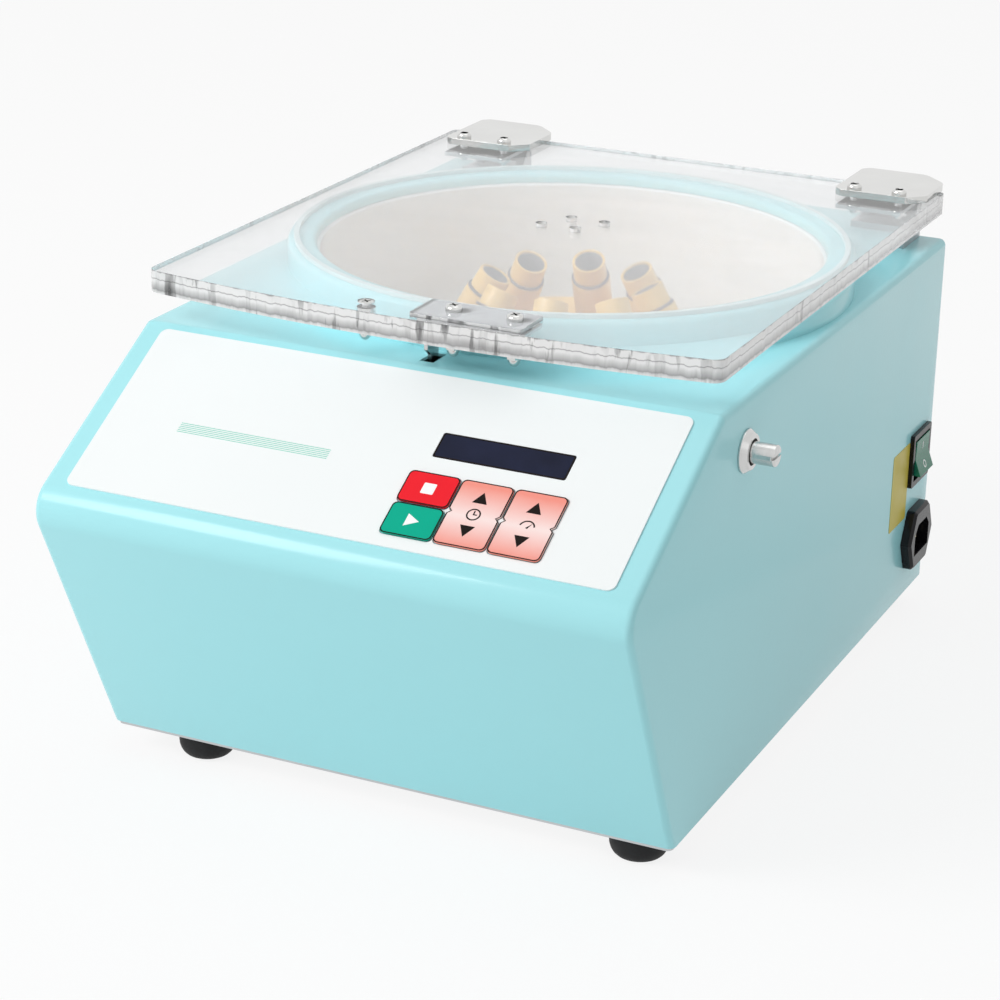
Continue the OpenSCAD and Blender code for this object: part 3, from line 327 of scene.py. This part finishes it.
# Skins: the material's name, screen colour and roughness, and what differs from finish's usual values
FINISHES = {
    "aqua": ("aqua_powder_coat", (168, 230, 236), 0.2,
             dict(vary=0.012, scale=5, rough_vary=0.05, bump_scale=420, depth=0.0003, coat=0.1,
                  specular=0.25)),
    "white": ("white_enamel", (248, 248, 248), 0.16,
              dict(vary=0.012, scale=7, rough_vary=0.04, bump=0.05, bump_scale=300, coat=0.5)),
    "sheet": ("sheet_steel", (196, 198, 200), 0.34,
              dict(metallic=1.0, vary=0.08, scale=20, bump=0.08, bump_scale=260, stretch=(1, 9, 1))),
    "brushed": ("brushed_steel", (204, 204, 203), 0.2,
                dict(metallic=1.0, vary=0.06, scale=60, bump=0.05, bump_scale=700, stretch=(8, 1, 1))),
    "bright": ("bright_plate", (212, 212, 210), 0.12,
               dict(metallic=1.0, scale=30, rough_vary=0.04, bump=0.05, bump_scale=400)),
    "zinc": ("zinc_plate", (190, 193, 196), 0.3,
             dict(metallic=1.0, vary=0.09, scale=120, bump_scale=1500)),
    "alloy": ("hinge_alloy", (178, 181, 184), 0.36, dict(metallic=1.0, vary=0.06, scale=50)),
    "motor": ("motor_paint", (150, 154, 158), 0.45, dict(vary=0.07, bump=0.3, bump_scale=600)),
    "rubber": ("black_rubber", (38, 38, 39), 0.6,
               dict(vary=0.12, scale=60, bump=0.35, bump_scale=1300, specular=0.2)),
    "seal": ("clear_seal", (206, 224, 224), 0.4, dict(vary=0.04, scale=50, bump=0.15)),
    "label": ("label_film", (243, 247, 247), 0.34,
              dict(vary=0.008, scale=12, rough_vary=0.04, bump=0.05, bump_scale=1400, depth=0.0001,
                   specular=0.3)),
    "board": ("circuit_board", (30, 96, 60), 0.4, dict(vary=0.16, scale=240, bump=0.2, bump_scale=700)),
    "red": ("red_key_film", (240, 30, 44), 0.34,
            dict(vary=0.03, scale=60, bump=0.05, bump_scale=1500, specular=0.15)),
    "green": ("green_key_film", (0, 172, 142), 0.34,
              dict(vary=0.03, scale=60, bump=0.05, bump_scale=1500, specular=0.12)),
    "iron": ("laminations", (116, 108, 98), 0.5,
             dict(metallic=0.6, vary=0.2, scale=90, bump=0.4, bump_scale=500, stretch=(1, 1, 12))),
    "black": ("black_plastic", (22, 21, 24), 0.2,
              dict(vary=0.1, scale=80, bump=0.08, bump_scale=1200, specular=0.2)),
    "ink": ("black_ink", (26, 19, 17), 0.42, dict(vary=0.1, scale=300, bump=0.05, specular=0.08)),
    "white_ink": ("white_ink", (250, 250, 250), 0.4, dict(vary=0.02, scale=300, bump=0.05)),
    "green_ink": ("green_ink", (112, 206, 184), 0.4, dict(vary=0.06, scale=300, bump=0.05)),
    "yellow": ("yellow_film", (206, 190, 78), 0.36,
               dict(vary=0.06, scale=30, bump=0.08, bump_scale=700, specular=0.25)),
    "pin": ("pin_plate", (212, 204, 178), 0.24, dict(metallic=1.0, vary=0.06, scale=200, bump=0.05)),
    "gold": ("gold_sleeve", (246, 200, 100), 0.36, dict(scale=30, bump=0.06, coat=0.2)),
    # Dark grey for the thin tube inside each sleeve: painted shade in the sleeve's hollow
    "shade_lining": ("painted_shade_lining", (92, 92, 96), 0.5, dict(vary=0.08, scale=60)),
    "band": ("dark_ring", (74, 70, 84), 0.5, dict(vary=0.1, scale=90, bump=0.15)),
    "window": ("dark_window", (26, 31, 54), 0.14,
               dict(vary=0.3, scale=45, rough_vary=0.04, bump=0.03, bump_scale=600, specular=0.12)),
    "lens": ("green_lens", (22, 140, 108), 0.2,
             dict(vary=0.08, scale=60, bump=0.02, bump_scale=500, specular=0.3)),
}
LENS_SEE_THROUGH = 0.25


def make_materials():
    trees = {}
    for skin, (name, colour, rough, rest) in FINISHES.items():
        trees[skin] = finish(name, linear(*colour), rough, **rest)
    trees["lens"].set(transmission_weight=LENS_SEE_THROUGH)
    trees["time"] = key_film_with_painted_highlight("salmon_key_painted_highlight_left", "time_key")
    trees["speed"] = key_film_with_painted_highlight("salmon_key_painted_highlight_right", "speed_key")
    trees["lid"] = clear_finish("clear_acrylic", "lid_panel", CLEAR)
    trees["pad"] = clear_finish("clear_pad", "latch_pad", CLEARER)
    return {skin: tree.mat for skin, tree in trees.items()}


PLACES = 8
SLEEVES = ["tube_sleeve_%d" % (k + 1) for k in range(PLACES)]
SKIN = {
    "aqua": ["housing", "rear_cover", "bowl_collar"],
    "white": ["bowl"],
    "sheet": ["base_plate", "motor_plate", "mount_pillars"],
    "brushed": ["motor_bearings", "motor_shaft", "latch_rod", "striker_plate", "release_plunger",
                "release_bezel", "hinge_pins"],
    "bright": ["hinge_plate_left", "hinge_plate_right", "hinge_screws", "latch_screws"],
    "zinc": ["housing_screws", "plate_bolts", "hinge_base_screws", "standoffs", "latch_finger",
             "latch_guides", "rotor_nut"],
    "alloy": ["hinge_base_left", "hinge_base_right", "hinge_leaf_left", "hinge_leaf_right"],
    "motor": ["motor_body"],
    "rubber": ["rubber_feet", "plate_mounts", "shaft_boot"],
    "seal": ["lid_seal"],
    "label": ["control_label"],
    "window": ["display_window"],
    "board": ["display_module", "key_board", "controller_board"],
    "red": ["stop_key"],
    "green": ["start_key"],
    "time": ["time_key"],
    "speed": ["speed_key"],
    "iron": ["transformer"],
    "black": ["rocker_bezel", "mains_inlet"],
    "lens": ["rocker_paddle"],
    "pin": ["inlet_pins"],
    "lid": ["lid_panel"],
    "pad": ["latch_pad"],
    "gold": ["rotor_dish", "tube_holders"] + SLEEVES,
}
# Width of the rounded edges in mm where it isn't the usual one. At 0 the edges stay sharp.
EDGE_MM = {
    "housing": 0.0, "bowl": 0.0, "bowl_collar": 0.0, "control_label": 0.15, "display_window": 0.1,
    "lid_panel": 0.5, "latch_pad": 0.3, "hinge_plate_left": 0.9, "hinge_plate_right": 0.9,
    "mains_inlet": 0.6, "rocker_paddle": 0.6,
}
USUAL_EDGE_MM = 0.25
EDGE_SEGMENTS = 2
SHARP = math.radians(32)
FLAT = math.radians(0.2)
WELD_REACH = 2e-6


def soften(obj, width_mm):
    """Joins the facets' corners, merges flat faces, rounds the sharp edges and smooths the rest."""
    data = obj.data
    if "custom_normal" in data.attributes:
        data.attributes.remove(data.attributes["custom_normal"])
    data.shade_smooth()
    weld = obj.modifiers.new("weld", "WELD")
    weld.merge_threshold = WELD_REACH
    flat = obj.modifiers.new("flat", "DECIMATE")
    flat.decimate_type = "DISSOLVE"
    flat.angle_limit = FLAT
    if width_mm:
        bevel = obj.modifiers.new("bevel", "BEVEL")
        bevel.width = width_mm * MM
        bevel.segments = EDGE_SEGMENTS
        bevel.limit_method = "ANGLE"
        bevel.angle_limit = SHARP
        bevel.harden_normals = True
    else:
        split = obj.modifiers.new("split", "EDGE_SPLIT")
        split.split_angle = SHARP


def dress():
    for skin, members in SKIN.items():
        for name in members:
            obj = nodes[name]
            soften(obj, EDGE_MM.get(name, USUAL_EDGE_MM))
            obj.data.materials.clear()
            obj.data.materials.append(MAT[skin])


# Floor, backdrop and lights. The backdrop's strength is WORLD_STRENGTH for the light it gives and 1 where
# it is seen, directly or in metal and glass.
WHITE = (1, 1, 1, 1)
FLOOR_COLOUR = (0.88, 0.88, 0.88, 1)
FLOOR_ROUGHNESS = 0.8
FLOOR_RADIUS = 14.0
FLOOR_SIDES = 96
FLOOR_GLOW = 0.85
WORLD_STRENGTH = 0.45
AIM = Vector((0.0, 0.0, 0.13))
# Each lamp's name, place, watts and width in metres
LAMPS = (
    ("key", (-2.0, -2.3, 2.4), 84, 1.8),
    ("fill", (2.6, -1.4, 1.9), 2, 1.6),
    ("top", (0.2, 0.6, 3.0), 9, 2.0),
)


def area_light(name, place, power, size):
    data = bpy.data.lights.new(name, "AREA")
    data.energy = power
    data.size = size
    lamp = bpy.data.objects.new(name, data)
    lamp.location = place
    lamp.rotation_euler = (AIM - lamp.location).to_track_quat("-Z", "Y").to_euler()
    bpy.context.scene.collection.objects.link(lamp)


def seen_directly(nt):
    """1 for camera, mirror and see-through rays, else 0."""
    path = nt.nodes.new("ShaderNodeLightPath")
    last = path.outputs["Is Camera Ray"]
    for ray in ("Is Glossy Ray", "Is Transmission Ray"):
        n = nt.nodes.new("ShaderNodeMath")
        n.operation = "MAXIMUM"
        nt.links.new(last, n.inputs[0])
        nt.links.new(path.outputs[ray], n.inputs[1])
        last = n.outputs[0]
    return last


def make_floor():
    mesh = bpy.data.meshes.new("floor")
    bm = bmesh.new()
    bmesh.ops.create_circle(bm, cap_ends=True, radius=FLOOR_RADIUS, segments=FLOOR_SIDES)
    bm.to_mesh(mesh)
    bm.free()
    floor = bpy.data.objects.new("floor", mesh)
    bpy.context.scene.collection.objects.link(floor)
    t = Tree("pale_floor")
    t.set(base_color=FLOOR_COLOUR, roughness=FLOOR_ROUGHNESS)
    glow = t.node("ShaderNodeEmission", Color=WHITE).outputs[0]
    part = t.math("MULTIPLY", seen_directly(t.nt), FLOOR_GLOW)
    t.nt.links.new(t.mix(part, t.shader.outputs[0], glow), t.out.inputs["Surface"])
    floor.data.materials.append(t.mat)


def make_world():
    world = bpy.data.worlds.new("studio")
    bpy.context.scene.world = world
    world.use_nodes = True
    nt = world.node_tree
    soft = nt.nodes["Background"]
    soft.inputs["Color"].default_value = WHITE
    soft.inputs["Strength"].default_value = WORLD_STRENGTH
    bright = nt.nodes.new("ShaderNodeBackground")
    bright.inputs["Color"].default_value = WHITE
    mix = nt.nodes.new("ShaderNodeMixShader")
    nt.links.new(seen_directly(nt), mix.inputs[0])
    nt.links.new(soft.outputs[0], mix.inputs[1])
    nt.links.new(bright.outputs[0], mix.inputs[2])
    nt.links.new(mix.outputs[0], nt.nodes["World Output"].inputs["Surface"])


# Thin printed and moulded pieces
def piece(name, bm, skin, body, smooth=False):
    mesh = bpy.data.meshes.new(name)
    bmesh.ops.recalc_face_normals(bm, faces=bm.faces)
    bm.to_mesh(mesh)
    bm.free()
    if smooth:
        mesh.shade_smooth()
    obj = bpy.data.objects.new(name, mesh)
    bpy.context.scene.collection.objects.link(obj)
    obj.data.materials.append(MAT[skin])
    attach(obj, body)


def slab(bm, points, place, low, high):
    """A thin closed plate: place(u, v, h) puts the outline's points in space."""
    bottom = [bm.verts.new(place(u, v, low)) for u, v in points]
    top = [bm.verts.new(place(u, v, high)) for u, v in points]
    bm.faces.new(bottom)
    bm.faces.new(top)
    for i in range(len(points)):
        j = (i + 1) % len(points)
        bm.faces.new((bottom[i], bottom[j], top[j], top[i]))


def frame_slab(bm, outer, inner, place, low, high):
    """A thin closed frame between two outlines with as many points each."""
    rows = [[bm.verts.new(place(u, v, h)) for u, v in outline]
            for outline in (outer, inner) for h in (low, high)]
    ob, ot, ib, it = rows
    for i in range(len(outer)):
        j = (i + 1) % len(outer)
        bm.faces.new((ob[i], ob[j], ot[j], ot[i]))
        bm.faces.new((ib[i], it[i], it[j], ib[j]))
        bm.faces.new((ot[i], ot[j], it[j], it[i]))
        bm.faces.new((ob[i], ib[i], ib[j], ob[j]))


def arc_points(cx, cy, r, a0, a1, n):
    angles = [math.radians(a0 + (a1 - a0) * i / n) for i in range(n + 1)]
    return [(cx + r * math.cos(a), cy + r * math.sin(a)) for a in angles]


def circle_points(cx, cy, r, n):
    return arc_points(cx, cy, r, 0, 360, n)[:-1]


CORNER_STEPS = 5


def rounded_box(cx, cy, w, h, r):
    points = []
    for sx, sy, a in ((1, 1, 0), (-1, 1, 90), (-1, -1, 180), (1, -1, 270)):
        middle = (cx + sx * (w / 2 - r), cy + sy * (h / 2 - r))
        points += arc_points(*middle, r, a, a + 90, CORNER_STEPS)
    return points


def notched(cx, cy, w, h, r, notch):
    """A rounded box with a small notch in the middle of both long sides."""
    left, right = cx - w / 2, cx + w / 2
    box = rounded_box(cx, cy, w, h, r)
    half = len(box) // 2
    left_notch = [(left, cy + notch), (left + notch, cy), (left, cy - notch)]
    right_notch = [(right, cy - notch), (right - notch, cy), (right, cy + notch)]
    return box[:half] + left_notch + box[half:] + right_notch


def rectangle(x0, y0, x1, y1):
    return [(x0, y0), (x1, y0), (x1, y1), (x0, y1)]


def shifted(points, x, s):
    return [(x + u, s + v) for u, v in points]


# Print on the keys, in mm: how far it stands out and reaches in, the line's width and the radius of a
# key's corners outside and inside that line
INK = 0.06
SINK = 0.05
LINE = 0.55
CORNER_R = 2.5
INNER_R = 2.2
ON_KEY = (KEY_TOP - SINK, KEY_TOP + INK)
STOP_MARK = 6.2
STOP_MARK_R = 0.5
START_MARK = ((-2.8, -3.6), (-2.8, 3.6), (3.6, 0.0))
CLOCK_RADII = (3.4, 2.7)
CLOCK_STEPS = 28
CLOCK_HANDS = ((-0.3, 0.3), (-0.3, -2.2), (0.3, -2.2), (0.3, -0.3), (1.7, -0.3), (1.7, 0.3))
DIAL_RADII = (3.8, 3.1)
DIAL_DOWN = 1.4
DIAL_ARC = (190, 350, 16)
DIAL_NEEDLE = ((-0.5, 1.9), (0.5, 2.2), (2.0, -1.0))
NOTCH = 1.6
# An arrow's half width, and its tip and foot measured from the middle of a long key
ARROW_HALF = 3.6
ARROW_TIP = 13.0
ARROW_FOOT = 6.6


def key_x(column):
    return KEYS_X + KEY_W / 2 + column * (KEY_W + KEY_GAP)


def print_stop_and_start():
    x = key_x(0)
    for row, body, slot_name in ((0, "stop_key", "red_key"), (1, "start_key", "green_key")):
        s = KEYS_S + KEY_L / 2 + row * (KEY_L + KEY_GAP)
        bm = bmesh.new()
        outer = rounded_box(x, s, KEY_W, KEY_L, CORNER_R)
        inner = rounded_box(x, s, KEY_W - 2 * LINE, KEY_L - 2 * LINE, INNER_R)
        frame_slab(bm, outer, inner, on_panel, *ON_KEY)
        piece(body + "_line", bm, "ink", body)
        bm = bmesh.new()
        if body == "stop_key":
            mark = rounded_box(x, s, STOP_MARK, STOP_MARK, STOP_MARK_R)
        else:
            mark = shifted(START_MARK, x, s)
        slab(bm, mark, on_panel, *ON_KEY)
        piece(body + "_mark", bm, "white_ink", body)


def print_clock(bm, x, s):
    outer, inner = [circle_points(x, s, r, CLOCK_STEPS) for r in CLOCK_RADII]
    frame_slab(bm, outer, inner, on_panel, *ON_KEY)
    slab(bm, shifted(CLOCK_HANDS, x, s), on_panel, *ON_KEY)


def print_dial(bm, x, s):
    outer, inner = [arc_points(x, s + DIAL_DOWN, r, *DIAL_ARC) for r in DIAL_RADII]
    slab(bm, outer + inner[::-1], on_panel, *ON_KEY)
    slab(bm, shifted(DIAL_NEEDLE, x, s), on_panel, *ON_KEY)


def print_pairs():
    s = KEYS_S + PAIR_L / 2
    for column, body, icon in ((1, "time_key", print_clock), (2, "speed_key", print_dial)):
        x = key_x(column)
        bm = bmesh.new()
        outer = notched(x, s, KEY_W, PAIR_L, CORNER_R, NOTCH)
        inner = notched(x, s, KEY_W - 2 * LINE, PAIR_L - 2 * LINE, INNER_R, NOTCH)
        frame_slab(bm, outer, inner, on_panel, *ON_KEY)
        for way in (-1, 1):
            foot, tip = s + way * ARROW_FOOT, s + way * ARROW_TIP
            slab(bm, [(x - ARROW_HALF, foot), (x + ARROW_HALF, foot), (x, tip)], on_panel, *ON_KEY)
        icon(bm, x, s)
        piece(body + "_print", bm, "ink", body)


# Print on the label, in mm: the window's middle, its border's outlines as width, height and corner radius,
# how much thinner the border is than other print, and the stripes
WINDOW_X = 60.9
WINDOW_S = 45.0
BORDER_OUTER = (65.2, 14.6, 1.2)
BORDER_INNER = (63.8, 13.2, 0.9)
BORDER_THINNER = 0.02
STRIPES = 6
STRIPES_LEFT = -99.0
STRIPES_RIGHT = -20.0
STRIPES_S = 59.2
STRIPE_STEP = 1.05
STRIPE_W = 0.32


def print_label():
    low, high = LABEL_T - SINK, LABEL_T + INK
    bm = bmesh.new()
    for i in range(STRIPES):
        s = STRIPES_S + i * STRIPE_STEP
        slab(bm, rectangle(STRIPES_LEFT, s, STRIPES_RIGHT, s + STRIPE_W), on_panel, low, high)
    piece("label_stripes", bm, "green_ink", "base")
    bm = bmesh.new()
    outer = rounded_box(WINDOW_X, WINDOW_S, *BORDER_OUTER)
    inner = rounded_box(WINDOW_X, WINDOW_S, *BORDER_INNER)
    frame_slab(bm, outer, inner, on_panel, low, high - BORDER_THINNER)
    piece("window_border", bm, "ink", "base")


# Right side of the housing, in mm: y and z from the switch's middle, h out of the side
SIDE_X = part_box("housing")[1].x
SWITCH = box_middle("rocker_bezel")


def on_side(y, z, h):
    return Vector((SIDE_X + h * MM, SWITCH.y + y * MM, SWITCH.z + z * MM))


# The switch's paddle: its tilt at rest, how far in its pivot lies, and its faces, which rise both ways from
# a valley in the middle. u runs up the paddle from that valley.
PADDLE_REST = math.radians(9)
PIVOT_IN = 3.0
VALLEY = 5.6
VALLEY_SLOPE = 2.0 / 10.25


def on_paddle(y, u, h):
    v = VALLEY + abs(u) * VALLEY_SLOPE + h
    c, k = math.cos(PADDLE_REST), math.sin(PADDLE_REST)
    return on_side(y, u * c + v * k, -PIVOT_IN - u * k + v * c)


# The blank plate's middle, width, height and corner radius, and how deep and high it lies
BLANK_PLATE = (-30.6, -10.0, 28.6, 44.0, 1.0)
PLATE_DEPTH = (-0.05, 0.22)
# The marks on the paddle: the bar's left, lower, right and upper side, the ring, and how deep and high
# they lie
BAR = (-0.45, 3.2, 0.45, 7.4)
RING_U = -5.6
RING_RADII = (2.2, 1.5)
RING_STEPS = 24
MARK_DEPTH = (-0.1, 0.08)


def dress_side():
    bm = bmesh.new()
    slab(bm, rounded_box(*BLANK_PLATE), on_side, *PLATE_DEPTH)
    piece("blank_plate", bm, "yellow", "base")
    bm = bmesh.new()
    slab(bm, rectangle(*BAR), on_paddle, *MARK_DEPTH)
    outer, inner = [circle_points(0, RING_U, r, RING_STEPS) for r in RING_RADII]
    frame_slab(bm, outer, inner, on_paddle, *MARK_DEPTH)
    piece("switch_marks", bm, "white_ink", "switch_paddle")


# Rotor: places for tubes, evenly spaced from FIRST_PLACE degrees on and leaning in to the axis. Each has
# a round band outside its sleeve and a thin dark tube inside it, painted shade in the sleeve's hollow.
# MOUTH_R and MOUTH_Z give the middle of a sleeve's mouth. Bands and shade tubes are in mm, with heights
# from that mouth.
TUBE_TILT = math.radians(29)
MOUTH_R = 40 * MM
MOUTH_Z = 202.5 * MM
FIRST_PLACE = 100
PLACE_STEP = 360 / PLACES
BAND_DOWN = 11.2
BAND_R = 9.2
BAND_THICK = 0.9
BAND_STEPS = 12
SHADE_LINING_R = 7.3
SHADE_LINING_T = 0.15
SHADE_LINING_TOP = -0.6
SHADE_LINING_FOOT = -76
LATHE_STEPS = 40
AXIS_AT = box_middle("bowl")


def place_matrix(k):
    spin = Matrix.Rotation(math.radians(FIRST_PLACE + PLACE_STEP * k), 4, "Z")
    out = Matrix.Translation((MOUTH_R, 0, MOUTH_Z))
    lean = Matrix.Rotation(-TUBE_TILT, 4, "Y")
    return Matrix.Translation((AXIS_AT.x, AXIS_AT.y, 0)) @ spin @ out @ lean


def lathe(bm, profile, matrix):
    """Turns a closed outline of (radius, height) points in mm round the local z axis."""
    rings = []
    for i in range(LATHE_STEPS):
        a = math.tau * i / LATHE_STEPS
        points = [Vector((r * math.cos(a) * MM, r * math.sin(a) * MM, z * MM)) for r, z in profile]
        rings.append([bm.verts.new(matrix @ point) for point in points])
    for i in range(LATHE_STEPS):
        here, there = rings[i], rings[(i + 1) % LATHE_STEPS]
        for j in range(len(profile)):
            n = (j + 1) % len(profile)
            bm.faces.new((here[j], there[j], there[n], here[n]))


def dress_rotor():
    bands = bmesh.new()
    shade_linings = bmesh.new()
    circle = circle_points(BAND_R, -BAND_DOWN, BAND_THICK, BAND_STEPS)
    inside = SHADE_LINING_R - SHADE_LINING_T
    tube = [(SHADE_LINING_R, SHADE_LINING_FOOT), (SHADE_LINING_R, SHADE_LINING_TOP), (inside, SHADE_LINING_TOP), (inside, SHADE_LINING_FOOT)]
    for k in range(PLACES):
        matrix = place_matrix(k)
        lathe(bands, circle, matrix)
        lathe(shade_linings, tube, matrix)
    piece("sleeve_bands", bands, "band", "rotor", smooth=True)
    piece("sleeve_painted_shade", shade_linings, "shade_lining", "rotor", smooth=True)


# Domed caps on the lower ends of the latch bolts and the bumper bolt, under the lid, in mm. A latch bolt's
# cap has its middle BOLT_END above the bolt's end, the bumper's lies BUMPER_T below the clear sheet.
BOLT_HEAD_R = 4.0
BOLT_PITCH = 31.0
BOLT_END = 1.8
BUMPER_T = 4.0
CAP_R = 3.1
CAP_STRETCH = 1.35
CAP_STEPS_ROUND = 24
CAP_STEPS_UP = 14


def cap(bm, place):
    """A ball as rings of points between two poles, stretched and put under the lid by its matrix."""
    radius = CAP_R * MM
    rings = []
    for j in range(1, CAP_STEPS_UP):
        a = math.pi * j / CAP_STEPS_UP
        circle = circle_points(0, 0, radius * math.sin(a), CAP_STEPS_ROUND)
        rings.append([bm.verts.new(place @ Vector((x, y, radius * math.cos(a)))) for x, y in circle])
    top = bm.verts.new(place @ Vector((0, 0, radius)))
    foot = bm.verts.new(place @ Vector((0, 0, -radius)))
    for i in range(CAP_STEPS_ROUND):
        n = (i + 1) % CAP_STEPS_ROUND
        bm.faces.new((top, rings[0][i], rings[0][n]))
        bm.faces.new((foot, rings[-1][n], rings[-1][i]))
        for upper, lower in zip(rings, rings[1:]):
            bm.faces.new((upper[i], lower[i], lower[n], upper[n]))


def cap_bolts():
    low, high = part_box("latch_screws")
    right = high.x - BOLT_HEAD_R * MM
    middle_y = (low.y + high.y) / 2
    nut_z = low.z + BOLT_END * MM
    bumper_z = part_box("lid_panel")[0].z - BUMPER_T * MM
    seats = ((right, nut_z), (right - BOLT_PITCH * MM, nut_z), (low.x + BOLT_HEAD_R * MM, bumper_z))
    stretch = Matrix.Diagonal((1, 1, CAP_STRETCH, 1))
    bm = bmesh.new()
    for x, z in seats:
        cap(bm, Matrix.Translation((x, middle_y, z)) @ stretch)
    piece("latch_cap_nuts", bm, "bright", "lid", smooth=True)


make_camera()
make_floor()
make_world()
for lamp in LAMPS:
    area_light(*lamp)
bpy.context.scene.view_settings.view_transform = "Standard"
MAT = make_materials()
dress()
print_stop_and_start()
print_pairs()
print_label()
dress_side()
dress_rotor()
cap_bolts()
